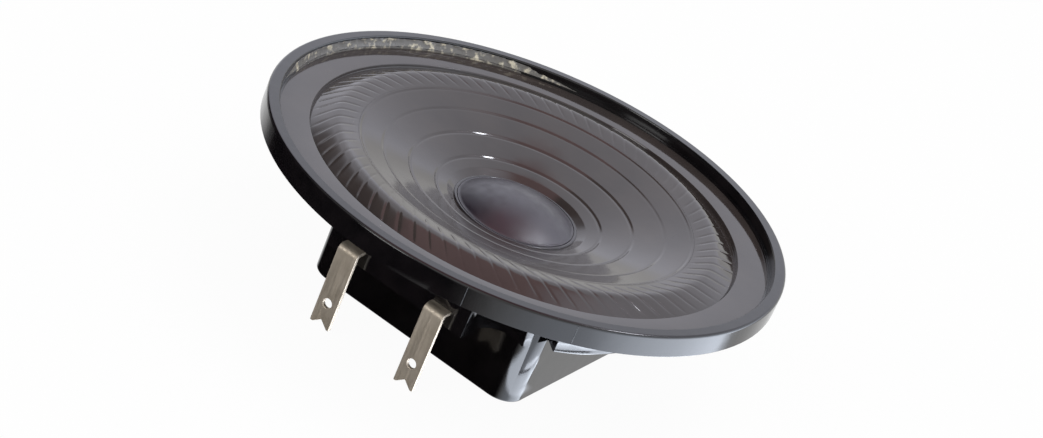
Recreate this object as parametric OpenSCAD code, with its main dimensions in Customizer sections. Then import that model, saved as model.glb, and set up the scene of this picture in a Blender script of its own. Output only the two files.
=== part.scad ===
// Full-range speaker driver, 66 mm across, with a square magnet housing and two solder tags.
// The seating face of the flange lies at z = 0 and the front of the driver looks along +Z.
// The solder tags stand on the -Y side.

/* [Flange] */
// Outside diameter of the mounting flange
flange_d = 66; // [60:0.5:76]
// Height of the rim above the seating face
flange_h = 2.7; // [2.2:0.1:4]
// Width of the flat top of the rim
rim_w = 1.6; // [1.2:0.1:2.2]
// Rounding of the rim's edges
rim_round = 0.35; // [0.1:0.05:0.5]
// Depth of the fine ledge inside the rim, below the rim's top
ledge_drop = 1.25; // [0.8:0.05:1.6]
// Width of the fine ledge inside the rim
ledge_w = 0.3; // [0.2:0.05:0.6]
// Width of the seating face behind the flange
seat_face_w = 1.2; // [1:0.1:1.6]

/* [Basket] */
// Height of the register that centres the driver in its cut-out
register_h = 0.55; // [0.4:0.05:1]
// How far the round shoulder reaches beyond the corners of the magnet housing
shoulder_reach = 1.62; // [1.4:0.02:2.6]
// Height of the shoulder's upright wall
shoulder_h = 2.5; // [2:0.1:3.5]
// Distance from the seating face back to the shoulder's underside
basket_h = 7.9; // [7:0.1:10]
// Wall of the basket
basket_wall = 1.4; // [1:0.1:1.8]
// Thickness of the basket's floor
floor_t = 1.4; // [1:0.1:1.8]
// Free ring between the magnet gap and the hole in the floor
floor_hole_gap = 1.2; // [0.8:0.1:2]
// Bevel where the bowl meets the shoulder, inside
bowl_bevel = 0.6; // [0.2:0.1:1]

/* [Terminal block] */
// Width of the block that holds the tags
block_w = 20; // [18:0.5:22]
// How far the block's front face stands out from the shoulder
block_stand = 0.8; // [0.5:0.1:2]
// Radius of the hollow beside each end of the block
pocket_r = 3.1; // [2:0.1:3.4]
// Height of the hollow
pocket_h = 2.3; // [1.5:0.1:2.4]
// Wall behind the hollow
pocket_wall = 1; // [0.8:0.1:1.4]
// How far the hollow cuts into the end of the block
pocket_bite = 0.2; // [0:0.05:0.5]
// Distance from the housing's face to the back of the hollow
pocket_stand = 0.9; // [0.5:0.1:1.5]

/* [Magnet housing] */
// Width of the square housing
housing_w = 31; // [29:0.2:32]
// Radius of its upright corners
housing_corner = 3; // [2:0.1:4]
// Rounding of its rear edges
housing_edge = 0.35; // [0.1:0.05:0.8]
// Side wall of the housing
housing_wall = 1.2; // [0.9:0.1:1.5]
// Rear wall of the housing
housing_back = 1.1; // [0.8:0.1:2]

/* [Latches] */
// Direction of each latch from the X axis, in degrees
latch_angle = 43; // [42:0.5:48]
// Width of the window in the shoulder at each latch
window_w = 3.15; // [2.6:0.05:3.6]
// Height of the window
window_h = 2.5; // [2:0.1:2.6]
// Clearance on each side of a latch in its window
latch_gap = 0.2; // [0.1:0.05:0.4]
// Reach of the latch's hook over the basket's floor
hook = 0.4; // [0.2:0.05:0.6]

/* [Magnet system] */
// Thickness of each layer of adhesive
glue_t = 0.1; // [0.05:0.01:0.2]
// Distance from each layer's edge to the edge of its plate
glue_margin = 0.7; // [0.3:0.1:1.2]
// Thickness of the front plate
plate_t = 1.8; // [1.4:0.1:2.5]
// Thickness of the magnet ring
magnet_t = 3.9; // [3:0.1:6]
// Thickness of the yoke plate
yoke_t = 1.6; // [1.2:0.1:2.5]
// Clearance between the magnet ring and the housing's walls
magnet_gap = 0.4; // [0.2:0.05:0.8]
// How much smaller in radius the steel plates are than the magnet ring
plate_step = 0.2; // [0.1:0.05:0.6]
// Free ring between the front plate's bore and the magnet ring's bore
magnet_bore_gap = 1.5; // [1:0.1:2.5]
// Chamfer on the pole piece's front edge
pole_chamfer = 0.3; // [0.1:0.05:0.5]

/* [Voice coil] */
// Outside diameter of the coil former
former_d = 14.7; // [13:0.1:16]
// Wall of the former
former_t = 0.15; // [0.1:0.01:0.25]
// How far the former runs on behind the winding
former_tail = 0.3; // [0.2:0.1:0.8]
// Height of the winding
winding_h = 3; // [2:0.1:4]
// Build of the winding on the former
winding_t = 0.4; // [0.25:0.05:0.6]
// Running clearance on each side of the coil
air_gap = 0.35; // [0.25:0.05:0.5]
// Width of each lead along the former
coil_lead_w = 0.3; // [0.2:0.05:0.5]

/* [Film] */
// Thickness of the film
film_t = 0.12; // [0.08:0.01:0.2]
// Free gap between the pieces of film
film_gap = 0.05; // [0.03:0.01:0.1]
// Width of the flat ring of film between the rim and the roll
film_rim_w = 3.85; // [3:0.05:5]
// Height of the film at the rim, above the seating face
film_z = 0.12; // [0.1:0.01:0.3]
// Rise of the film from the rim to the roll's outer foot
film_rise = 0.55; // [0.2:0.05:0.8]

/* [Surround] */
// Width of the roll
surround_w = 5.7; // [5:0.1:7]
// Height of the roll above the chord between its feet
roll_h = 1.05; // [0.6:0.05:1.6]
// Number of flutes round the roll
flutes = 75; // [48:1:84]
// Height of a flute from its valley to its ridge
flute_h = 0.14; // [0.1:0.02:0.3]
// Angle by which a flute leads at its outer end, in degrees
flute_twist = 10.5; // [4:0.5:14]

/* [Cone and dome] */
// Height of the cone's edge above the roll's outer foot
cone_edge_rise = 0.8; // [0.5:0.05:1]
// Slope of the cone, in degrees
cone_slope = 17.35; // [12:0.05:20]
// Distance from the cone's edge to its first step
ring_first = 3.4; // [2:0.1:4]
// Distance from each step to the next
ring_pitch = 3.72; // [3.4:0.02:4.5]
// Width of a step
step_w = 0.5; // [0.3:0.05:0.8]
// Height that a step adds to the slope
step_h = 0.24; // [0.1:0.02:0.4]
// Width of the land outside the former
land_out = 0.6; // [0.5:0.05:0.9]
// Width of the land inside the former's outer face
land_in = 0.3; // [0.2:0.05:0.5]
// Depth of the groove round the dome
groove_h = 0.27; // [0.15:0.01:0.4]
// Width of the groove's outer slope
groove_w = 0.25; // [0.15:0.05:0.4]
// Width of the bead of glue round the dome
bead_w = 0.5; // [0.3:0.05:0.6]
// Width of the dome's flat foot, which is glued to the land
dome_foot_w = 0.5; // [0.2:0.05:0.6]
// Height of the dome
dome_h = 2.2; // [1.2:0.05:3]

/* [Solder tags] */
// Distance between the tags
tag_pitch = 12.7; // [11.6:0.1:14]
// Width of a tag
tag_w = 2.8; // [2:0.1:3.2]
// Thickness of a tag
tag_t = 0.5; // [0.4:0.05:0.6]
// Distance from the block's face to the blade's outer face
tag_stand = 1.5; // [1.2:0.1:2.5]
// Height of the tag's foot above the underside of the basket
tag_foot_h = 2.05; // [2:0.05:2.2]
// Outer radius of the bend
tag_bend = 0.8; // [0.7:0.05:1.1]
// Length of the blade below the foot's upper face
tag_len = 10.75; // [9:0.05:14]
// Diameter of the wire hole
tag_hole_d = 1.2; // [0.8:0.1:1.6]
// Distance from the blade's end up to the wire hole
tag_hole_up = 3.1; // [2.4:0.1:4]
// Depth of the notch in the blade's end
tag_notch = 0.85; // [0.4:0.05:1.2]
// Width of the flat end on each side of the notch
tag_tip = 0.35; // [0.2:0.05:0.6]
// Clearance round a tag in its slot
tag_fit = 0.03; // [0.02:0.01:0.08]
// Length of the foot inside the basket
tag_inner = 1.9; // [1.4:0.1:2.4]
// Radius of the mound of solder on a tag's inner end
solder_r = 0.7; // [0.5:0.05:0.9]

/* [Leads] */
// Diameter of the flexible leads
lead_d = 0.5; // [0.3:0.05:0.7]
// Direction from the axis in which the leads leave the former, in degrees
lead_angle = 245; // [235:1:255]

/* [Hidden] */

// Facets of the round surfaces as seen on screen
FINE = 180;
// How far a cut runs on past the face that it opens
PAST = 1;
// Steps in a rounded edge
ROUND_STEPS = 5;
// Steps in the profile of the roll and along a flexible lead
CURVE_STEPS = 14;

// Distance from the axis to the outside of the housing's corners
housing_half = housing_w / 2;
corner_r = (housing_half - housing_corner) * sqrt(2) + housing_corner;

// Flange and the basket's inner outline
flange_r = flange_d / 2;
rim_in_r = flange_r - rim_w;
seat_r = rim_in_r - ledge_w;
register_r = flange_r - seat_face_w;
shoulder_r = corner_r + shoulder_reach;
shoulder_in_r = shoulder_r - basket_wall;
shoulder_top = shoulder_h - basket_h;
floor_top = floor_t - basket_h;
bowl_slope = (-register_h - shoulder_top) / (register_r - shoulder_r);
bowl_wall_z = basket_wall * sqrt(1 + bowl_slope * bowl_slope);

// Height of the bowl's outer face at radius r
function bowl_z(r) = shoulder_top + (r - shoulder_r) * bowl_slope;

// Film, from the rim to the cone's edge
film_r = seat_r - 2 * film_gap;
surround_r = film_r - film_rim_w;
surround_in_r = surround_r - surround_w;
roll_foot_z = film_z + film_rise;
film_slope = film_rise / film_rim_w;
cone_r = surround_in_r - film_gap;
cone_edge_z = roll_foot_z + cone_edge_rise;

// Height of the film's upper face at radius r, between the rim and the roll
function film_top(r) = film_z + (film_r - r) * film_slope;

// Voice coil and magnet gap
former_r = former_d / 2;
winding_r = former_r + winding_t;
gap_r = winding_r + air_gap;
pole_r = former_r - former_t - air_gap;
floor_hole_r = gap_r + floor_hole_gap;
magnet_in_r = gap_r + magnet_bore_gap;
housing_in = housing_half - housing_wall;
magnet_r = housing_in - magnet_gap;
plate_r = magnet_r - plate_step;

// Stack of the magnet system, from the basket's underside to the rear
plate_z = -basket_h - glue_t;
plate_under = plate_z - plate_t;
magnet_z = plate_under - glue_t;
magnet_under = magnet_z - magnet_t;
yoke_z = magnet_under - glue_t;
yoke_under = yoke_z - yoke_t;
housing_floor = yoke_under - glue_t;
housing_rear = housing_floor - housing_back;
winding_z = plate_z - plate_t / 2 + winding_h / 2;

// Height of the cone's upper face at radius r, before its steps
function cone_z(r) = cone_edge_z - (cone_r - r) * tan(cone_slope);

// Land and dome
land_r = former_r + land_out;
land_in_r = former_r - land_in;
land_z = cone_z(land_r) - groove_h;
land_under = land_z - film_t;
ring_radii = [for (r = [cone_r - ring_first : -ring_pitch : land_r + groove_w + step_w]) r];
dome_r = land_r - bead_w;

// Terminal block, its hollows and the solder tags
block_side = block_w / 2;
block_front = shoulder_r + block_stand;
block_top = bowl_z(norm([block_side, block_front])) + basket_wall / 4;
pocket_x = block_side - pocket_bite + pocket_r;
pocket_y = -housing_half - pocket_stand - pocket_r;
tag_x = tag_pitch / 2;
tag_face_y = -block_front - tag_stand;
tag_foot_z = tag_foot_h - basket_h;
tag_inner_y = -sqrt(pow(shoulder_in_r, 2) - pow(tag_x, 2)) + tag_inner;

// Latches stand on the corners of the housing's wall
latch_root_r = corner_r - housing_wall - film_gap;
latch_angles = [latch_angle, 180 - latch_angle, 180 + latch_angle, -latch_angle];

// Points of an arc round c, from angle a to angle b
function arc(c, r, a, b, n = ROUND_STEPS) =
    [for (i = [0 : n]) c + r * [cos(a + (b - a) * i / n), sin(a + (b - a) * i / n)]];

// The same list of points, last first
function reversed(p) = [for (i = [len(p) - 1 : -1 : 0]) p[i]];

// The points moved up by h
function raised(p, h) = [for (q = p) [q[0], q[1] + h]];

// Value at the share t of the way from a to b
function mix(a, b, t) = a + (b - a) * t;

// A share that starts and ends gently
function eased(t) = t * t * (3 - 2 * t);

function unit(v) = v / norm(v);

module ring(r_out, r_in, z_low, z_high) {
    rotate_extrude($fn = FINE)
        polygon([[r_in, z_low], [r_out, z_low], [r_out, z_high], [r_in, z_high]]);
}

module disc(r, z_low, z_high) {
    translate([0, 0, z_low]) cylinder(r = r, h = z_high - z_low, $fn = FINE);
}

// A thin revolved sheet of thickness t below the outline p
module sheet(p, t) {
    rotate_extrude($fn = FINE) polygon(concat(p, reversed(raised(p, -t))));
}

// An outline in the y-z plane, extruded along x about its middle
module side_profile(p, w) {
    translate([-w / 2, 0, 0]) rotate([90, 0, 90]) linear_extrude(height = w) polygon(p);
}

// A square block with round upright corners and round rear edges
module soft_block(w, r, z_low, z_high, edge) {
    h = w / 2;
    half = concat([[0, z_high], [0, z_low]], arc([r - edge, z_low + edge], edge, -90, 0), [[r, z_high]]);
    across = concat(arc([-h + edge, z_low + edge], edge, 180, 270),
                    arc([h - edge, z_low + edge], edge, -90, 0), [[h, z_high], [-h, z_high]]);
    side_profile(across, w - 2 * r);
    rotate([0, 0, 90]) side_profile(across, w - 2 * r);
    for (x = [-1, 1], y = [-1, 1])
        translate([x * (h - r), y * (h - r), 0]) rotate_extrude($fn = FINE / 3) polygon(half);
}

// The basket's outer form, as if it were solid
module basket_body() {
    edge = rim_round;
    outline = concat(
        [[0, -basket_h]],
        arc([shoulder_r - edge, edge - basket_h], edge, -90, 0),
        [[shoulder_r, shoulder_top], [register_r, -register_h], [register_r, 0], [flange_r, 0]],
        arc([flange_r - edge, flange_h - edge], edge, 0, 90),
        [[0, flange_h]]);
    rotate_extrude($fn = FINE) polygon(outline);
    translate([-block_side, -block_front, -basket_h])
        cube([block_w, block_front - shoulder_in_r / 2, block_top + basket_h]);
}

// The hollow inside of the basket
module basket_hollow() {
    seat_in_r = surround_r + 3 * film_gap;
    seat_drop = film_t + glue_t;
    bevel_z = bowl_z(shoulder_in_r + bowl_bevel) + bowl_wall_z;
    edge = rim_round / 2;
    rotate_extrude($fn = FINE) polygon([
        [0, flange_h + PAST], [rim_in_r + edge + PAST, flange_h + PAST], [rim_in_r + edge, flange_h],
        [rim_in_r, flange_h - edge], [rim_in_r, flange_h - ledge_drop], [seat_r, flange_h - ledge_drop],
        [seat_r, film_top(seat_r) - seat_drop], [seat_in_r, film_top(seat_in_r) - seat_drop],
        [seat_in_r, bowl_z(seat_in_r) + bowl_wall_z], [shoulder_in_r + bowl_bevel, bevel_z],
        [shoulder_in_r, bevel_z - bowl_bevel], [shoulder_in_r, floor_top],
        [floor_hole_r, floor_top], [floor_hole_r, -basket_h - PAST], [0, -basket_h - PAST]]);
}

// The walls that stand round the two hollows beside the block
module pocket_walls() {
    intersection() {
        translate([0, 0, -basket_h]) cylinder(r = shoulder_r, h = pocket_h + pocket_wall, $fn = FINE);
        for (x = [-pocket_x, pocket_x]) translate([x, pocket_y, -basket_h])
            cylinder(r = pocket_r + pocket_wall, h = pocket_h + pocket_wall, $fn = 48);
    }
}

// Windows and slots for the four latches
module latch_windows() {
    r_in = latch_root_r - latch_gap;
    for (a = latch_angles) rotate([0, 0, a])
        translate([r_in, -window_w / 2, -basket_h - PAST])
            cube([shoulder_r - r_in + PAST, window_w, window_h + PAST]);
}

module basket() {
    slot_w = tag_w + 2 * tag_fit;
    color("#17171a") difference() {
        union() {
            difference() {
                basket_body();
                basket_hollow();
            }
            pocket_walls();
        }
        for (x = [-pocket_x, pocket_x]) translate([x, pocket_y, -basket_h - PAST])
            cylinder(r = pocket_r, h = pocket_h + PAST, $fn = 48);
        latch_windows();
        for (x = [-tag_x, tag_x])
            translate([x - slot_w / 2, -block_front - PAST, tag_foot_z - tag_t - tag_fit])
                cube([slot_w, tag_inner_y + block_front + PAST, tag_t + 2 * tag_fit]);
    }
}

// One latch of the housing, along +X: a tongue with a hook that points inwards
module latch() {
    w = window_w - 2 * latch_gap;
    root_z = -basket_h - housing_wall;
    top = window_h - basket_h - latch_gap;
    under = floor_top + film_gap;
    r_out = latch_root_r + 2 * housing_wall;
    r_hook = latch_root_r - latch_gap - hook;
    side = [[latch_root_r, root_z], [r_out, root_z], [r_out, top], [latch_root_r + hook / 2, top],
            [r_hook, under + hook / 2], [r_hook, under], [latch_root_r, under]];
    rotate([90, 0, 0]) translate([0, 0, -w / 2]) linear_extrude(height = w) polygon(side);
}

module magnet_housing() {
    edge = housing_edge / 2;
    color("#1b1b1e") {
        difference() {
            soft_block(housing_w, housing_corner, housing_rear, -basket_h, housing_edge);
            soft_block(2 * housing_in, housing_corner - housing_wall, housing_floor, PAST - basket_h, edge);
        }
        intersection() {
            soft_block(housing_w, housing_corner, -basket_h - housing_wall, 0, edge);
            for (a = latch_angles) rotate([0, 0, a]) latch();
        }
    }
}

// A tag at x: a foot that runs in through the block, a bend and a blade with a notched end
module solder_tag(x) {
    centre = [tag_face_y + tag_bend, tag_foot_z - tag_bend];
    end_z = tag_foot_z - tag_len;
    cut_t = tag_t + 2 * PAST;
    side = concat(
        [[tag_inner_y, tag_foot_z]],
        arc(centre, tag_bend, 90, 180),
        [[tag_face_y, end_z], [tag_face_y + tag_t, end_z]],
        arc(centre, tag_bend - tag_t, 180, 90),
        [[tag_inner_y, tag_foot_z - tag_t]]);
    half = tag_w / 2 - tag_tip;
    notch_slope = half / tag_notch;
    color("#b5a68c") translate([x, 0, 0]) difference() {
        side_profile(side, tag_w);
        translate([0, tag_face_y - PAST, end_z + tag_hole_up])
            rotate([-90, 0, 0]) cylinder(d = tag_hole_d, h = cut_t, $fn = 48);
        translate([0, tag_face_y + tag_t + PAST, end_z]) rotate([90, 0, 0]) linear_extrude(height = cut_t)
            polygon([[-half, 0], [0, tag_notch], [half, 0], [half, -PAST], [-half, -PAST]]);
    }
}

module solder_tag_left() { solder_tag(-tag_x); }
module solder_tag_right() { solder_tag(tag_x); }

// A mound of solder on the inner end of each tag
module tag_solder() {
    h = tag_t + lead_d / 2;
    mound = concat([[0, 0]], [for (a = [0 : 15 : 90]) [solder_r * cos(a), h * sin(a)]]);
    color("#c3c5c8") for (x = [-tag_x, tag_x])
        translate([x, tag_inner_y - solder_r, tag_foot_z]) rotate_extrude($fn = 36) polygon(mound);
}

module front_plate_glue() {
    color("#5a5248") ring(plate_r - glue_margin, floor_hole_r + glue_margin, plate_z, -basket_h);
}
module front_plate() { color("#9a9da1") ring(plate_r, gap_r, plate_under, plate_z); }
module magnet_glue() {
    color("#5a5248") ring(plate_r - glue_margin, magnet_in_r + glue_margin, magnet_z, plate_under);
}
module magnet_ring() { color("#3a3a3d") ring(magnet_r, magnet_in_r, magnet_under, magnet_z); }
module yoke_glue() {
    color("#5a5248") ring(plate_r - glue_margin, magnet_in_r + glue_margin, yoke_z, magnet_under);
}
module yoke_plate() { color("#9a9da1") disc(plate_r, yoke_under, yoke_z); }
module housing_glue() { color("#5a5248") disc(plate_r - glue_margin, housing_floor, yoke_under); }

// The steel post in the magnet gap, with a chamfered front edge
module pole_piece() {
    color("#a4a7ab") rotate_extrude($fn = FINE) polygon([
        [0, yoke_z], [pole_r, yoke_z], [pole_r, plate_z - pole_chamfer],
        [pole_r - pole_chamfer, plate_z], [0, plate_z]]);
}

// Adhesive between the film's rim and its seat
module rim_glue() {
    r_out = film_r - glue_margin;
    r_in = surround_r + glue_margin;
    color("#6a655c") sheet([for (r = [r_out, r_in]) [r, film_top(r) - film_t]], glue_t);
}

module film_rim() {
    r_in = surround_r + film_gap;
    color("#77777a") sheet([[film_r, film_top(film_r)], [r_in, film_top(r_in)]], film_t);
}

// Height of the roll at the share t of its width, from the outer foot to the inner one
function roll_z(t) = roll_foot_z + cone_edge_rise * t + roll_h * sin(180 * pow(t, 0.75));

// Share of a flute's full height at t, which runs out to nothing at both feet
function flute_share(t) = eased(min(1, 5 * t, 5 * (1 - t)));

// The roll with its slanting flutes: a ridge and a valley for each, swept from foot to foot
module surround() {
    shares = [0, 0.07, 0.18, 0.35, 0.55, 0.75, 0.9, 1];
    rows = len(shares);
    columns = 2 * flutes;
    upper = [for (t = shares, i = [0 : columns - 1])
        let (r = surround_r - surround_w * t, a = 360 * i / columns + flute_twist * (1 - t),
             side = i % 2 == 0 ? 0.5 : -0.5)
        [r * cos(a), r * sin(a), roll_z(t) + side * flute_h * flute_share(t)]];
    n = len(upper);
    lower = [for (p = upper) p - [0, 0, film_t]];
    faces = [for (j = [0 : rows - 2], i = [0 : columns - 1])
        let (a = j * columns + i, b = j * columns + (i + 1) % columns, c = b + columns, d = a + columns)
        each [[a, b, c], [a, c, d], [n + a, n + c, n + b], [n + a, n + d, n + c]]];
    last = (rows - 1) * columns;
    rims = [for (i = [0 : columns - 1])
        let (k = (i + 1) % columns)
        each [[i, n + i, n + k], [i, n + k, k],
              [last + i, last + k, n + last + k], [last + i, n + last + k, n + last + i]]];
    color("#6d6b6b") polyhedron([for (p = concat(upper, lower)) p], concat(faces, rims), convexity = 6);
}

// Cone of film: a straight slope with a rounded step at each ring, down to the land
cone_outline = concat(
    [[cone_r, cone_edge_z]],
    [for (r = ring_radii, s = [0.5, -0.5]) [r + s * step_w, cone_z(r + s * step_w) + s * step_h]],
    [[land_r + groove_w, cone_z(land_r + groove_w)], [land_r, land_z], [land_in_r, land_z]]);

module cone() { color("#77777a") sheet(cone_outline, film_t); }

// A shallow cap with a flat foot that lies on the land
module dome() {
    cap_r = dome_r - dome_foot_w;
    r_ball = (cap_r * cap_r + dome_h * dome_h) / (2 * dome_h);
    half = asin(cap_r / r_ball);
    top = land_z + film_t + dome_h;
    cap = [for (i = [0 : 10]) let (a = half * (1 - i / 10)) [r_ball * sin(a), top - r_ball * (1 - cos(a))]];
    color("#3b3947") sheet(concat([[dome_r, land_z + film_t]], cap), film_t);
}

// The bead in the groove round the dome
module dome_glue() {
    color("#202024") ring(land_r - film_gap, dome_r + film_gap / 2, land_z, land_z + film_t);
}

module coil_former() {
    color("#c8b48a") ring(former_r, former_r - former_t, winding_z - winding_h - former_tail, land_under);
}

module voice_coil() { color("#b06a35") ring(winding_r, former_r, winding_z - winding_h, winding_z); }

// The bead under the land, outside the former
module neck_glue() {
    color("#6a655c") rotate_extrude($fn = FINE)
        polygon([[former_r, land_under], [former_r, land_under - land_out], [land_r, land_under]]);
}

// Two fine leads that run up the outside of the former
coil_lead_top = land_under - land_out - film_gap;

module coil_leads() {
    color("#b06a35") for (a = [lead_angle, 540 - lead_angle]) rotate([0, 0, a])
        translate([former_r + film_gap / 2, -coil_lead_w / 2, winding_z])
            cube([winding_t / 2, coil_lead_w, coil_lead_top - winding_z]);
}

// A round tube of radius r along the points p
module tube(p, r, sides = 8) {
    n = len(p);
    along = [for (i = [0 : n - 1]) unit(p[min(i + 1, n - 1)] - p[max(i - 1, 0)])];
    points = [for (i = [0 : n - 1], k = [0 : sides - 1])
        let (u = unit(cross(along[i], [1, 0, 0])), v = cross(along[i], u), a = 360 * k / sides)
        p[i] + r * (cos(a) * u + sin(a) * v)];
    walls = [for (i = [0 : n - 2], k = [0 : sides - 1])
        let (a = i * sides + k, b = i * sides + (k + 1) % sides) [a, b, b + sides, a + sides]];
    caps = [[for (k = [sides - 1 : -1 : 0]) k], [for (k = [0 : sides - 1]) (n - 1) * sides + k]];
    polyhedron(points, concat(walls, caps), convexity = 4);
}

// The right flexible lead: from the coil's lead, under the cone, into the solder on the tag
module lead_right() {
    r = former_r + winding_t / 2 + 2 * film_gap + lead_d / 2;
    start = [-r * cos(lead_angle), r * sin(lead_angle), coil_lead_top - lead_d];
    end = [tag_x, tag_inner_y - solder_r, tag_foot_z + lead_d / 2 + film_gap / 2];
    route = [for (i = [0 : CURVE_STEPS]) let (t = i / CURVE_STEPS)
        [mix(start[0], end[0], eased(t)), mix(start[1], end[1], t), mix(start[2], end[2], eased(t))]];
    color("#b07a4a") tube(route, lead_d / 2);
}

module lead_left() { mirror([1, 0, 0]) lead_right(); }

basket();
magnet_housing();
solder_tag_left();
solder_tag_right();
tag_solder();
front_plate_glue();
front_plate();
magnet_glue();
magnet_ring();
yoke_glue();
yoke_plate();
pole_piece();
housing_glue();
rim_glue();
film_rim();
surround();
lead_left();
lead_right();
cone();
dome();
dome_glue();
coil_former();
voice_coil();
coil_leads();
neck_glue();
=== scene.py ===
"""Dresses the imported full-range speaker driver and sets it in a plain pale studio.

Sizes are millimetres in the driver's own frame, and MM turns them into Blender's metres.
The flange's seating face lies at z = 0, the film looks along +Z and the solder tags stand on the -Y side.
"""

from __future__ import annotations

import logging
import math
from abc import ABC, abstractmethod
from collections.abc import Callable, Iterable, Sequence
from dataclasses import dataclass
from enum import Enum
from typing import NamedTuple

import bmesh
import bpy
from mathutils import Matrix, Vector


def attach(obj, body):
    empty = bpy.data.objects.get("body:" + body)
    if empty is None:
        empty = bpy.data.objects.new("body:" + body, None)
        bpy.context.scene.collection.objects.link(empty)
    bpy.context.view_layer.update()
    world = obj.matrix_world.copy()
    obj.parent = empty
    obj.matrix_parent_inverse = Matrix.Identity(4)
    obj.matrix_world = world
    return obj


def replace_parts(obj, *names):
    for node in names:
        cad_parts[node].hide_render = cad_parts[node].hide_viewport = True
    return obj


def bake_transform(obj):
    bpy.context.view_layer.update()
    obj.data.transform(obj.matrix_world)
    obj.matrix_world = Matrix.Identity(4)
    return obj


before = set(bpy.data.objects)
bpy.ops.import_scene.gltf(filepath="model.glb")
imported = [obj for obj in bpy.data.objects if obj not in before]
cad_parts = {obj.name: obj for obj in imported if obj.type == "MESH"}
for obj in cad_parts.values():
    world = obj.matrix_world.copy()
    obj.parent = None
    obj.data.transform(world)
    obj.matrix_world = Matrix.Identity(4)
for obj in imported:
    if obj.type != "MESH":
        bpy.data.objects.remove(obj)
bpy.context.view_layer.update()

MM = 0.001
AXIS = Vector((0.0, 0.0, 1.0))
LOG = logging.getLogger("driver")

# Points of a new piece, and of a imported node, that lie nearer to each other than these are one, in mm
WELD = 0.001
NODE_WELD = 0.002
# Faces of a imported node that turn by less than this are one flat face, in degrees
FLAT_ANGLE = 0.4
# Edges of a stiff piece, and of a formed or a soft one, that turn by more than these stay crisp, in degrees
STIFF_CREASE = 35.0
FORMED_CREASE = 60.0
# Half the width of the grid that sheets are bent from
GRID_HALF = 0.5
# Nearly all values of a noise texture lie between these
NOISE_SPAN = (0.32, 0.68)
# How far apart the waves of a wave texture are at a scale of 1
WAVE_LENGTH = math.pi / 10
# The sockets of a Mix node that blends colours
MIX_SHARE, MIX_FIRST, MIX_SECOND, MIX_RESULT = 0, 6, 7, 2

Pair = tuple[float, float]
Point = tuple[float, float]
Place = tuple[float, float, float]
Colour = tuple[float, float, float, float]
Tree = bpy.types.NodeTree
Socket = bpy.types.NodeSocket
Object = bpy.types.Object


class Body(Enum):
    """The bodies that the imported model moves."""

    FRAME = "frame"
    DIAPHRAGM = "diaphragm"


def linear(code: str) -> Colour:
    """Turns a colour as it is seen on a screen into the linear one that light is worked out with.

    Args:
        code: An sRGB colour written as "#rrggbb".

    Returns:
        Red, green and blue in linear light, with full alpha.
    """
    shares = [int(code[i : i + 2], 16) / 255 for i in (1, 3, 5)]
    red, green, blue = (s / 12.92 if s <= 0.04045 else ((s + 0.055) / 1.055) ** 2.4 for s in shares)
    return red, green, blue, 1.0


WHITE = linear("#ffffff")


def add_node(tree: Tree, kind: str, inputs: dict | None = None, **settings) -> bpy.types.Node:
    """Adds one node to a tree, sets it and links it.

    Args:
        tree: The node tree that gets the node.
        kind: The node's type name.
        inputs: Values or output sockets by the name or number of the input they go to.
        **settings: The node's own properties.

    Returns:
        The new node.
    """
    node = tree.nodes.new(kind)
    for name, value in settings.items():
        setattr(node, name, value)
    for key, value in (inputs or {}).items():
        if isinstance(value, Socket):
            tree.links.new(value, node.inputs[key])
        else:
            node.inputs[key].default_value = value
    return node


def fresh_tree(owner: bpy.types.Material | bpy.types.World) -> Tree:
    """Gives a material or a world an empty node tree.

    Args:
        owner: The material or the world.

    Returns:
        The node tree.
    """
    owner.use_nodes = True
    owner.node_tree.nodes.clear()
    return owner.node_tree


def blotches(tree: Tree, place: Socket, size: float, low: float, high: float, detail: float = 3.0) -> Socket:
    """A soft random pattern, as moulding, handling and dust leave on a surface.

    Args:
        tree: The material's node tree.
        place: The coordinates that the pattern lies on.
        size: How wide one blotch is, in mm.
        low: The value in the pattern's hollows.
        high: The value on its heights.
        detail: How many finer layers lie on the first.

    Returns:
        The socket with the value.
    """
    layers = {"Vector": place, "Scale": 1 / (size * MM), "Detail": detail}
    noise = add_node(tree, "ShaderNodeTexNoise", layers).outputs["Fac"]
    span = {"From Min": NOISE_SPAN[0], "From Max": NOISE_SPAN[1], "To Min": low, "To Max": high}
    return add_node(tree, "ShaderNodeMapRange", {"Value": noise, **span}).outputs["Result"]


def smooth(share: float) -> float:
    """Goes from 0 to 1 with a level start and a level end."""
    return share * share * (3 - 2 * share)


class Pattern(NamedTuple):
    """What a pattern gives its shader: the share of the second tone, the wear's coordinates, the relief."""

    share: Socket
    wear_place: Socket
    normal: Socket


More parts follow.
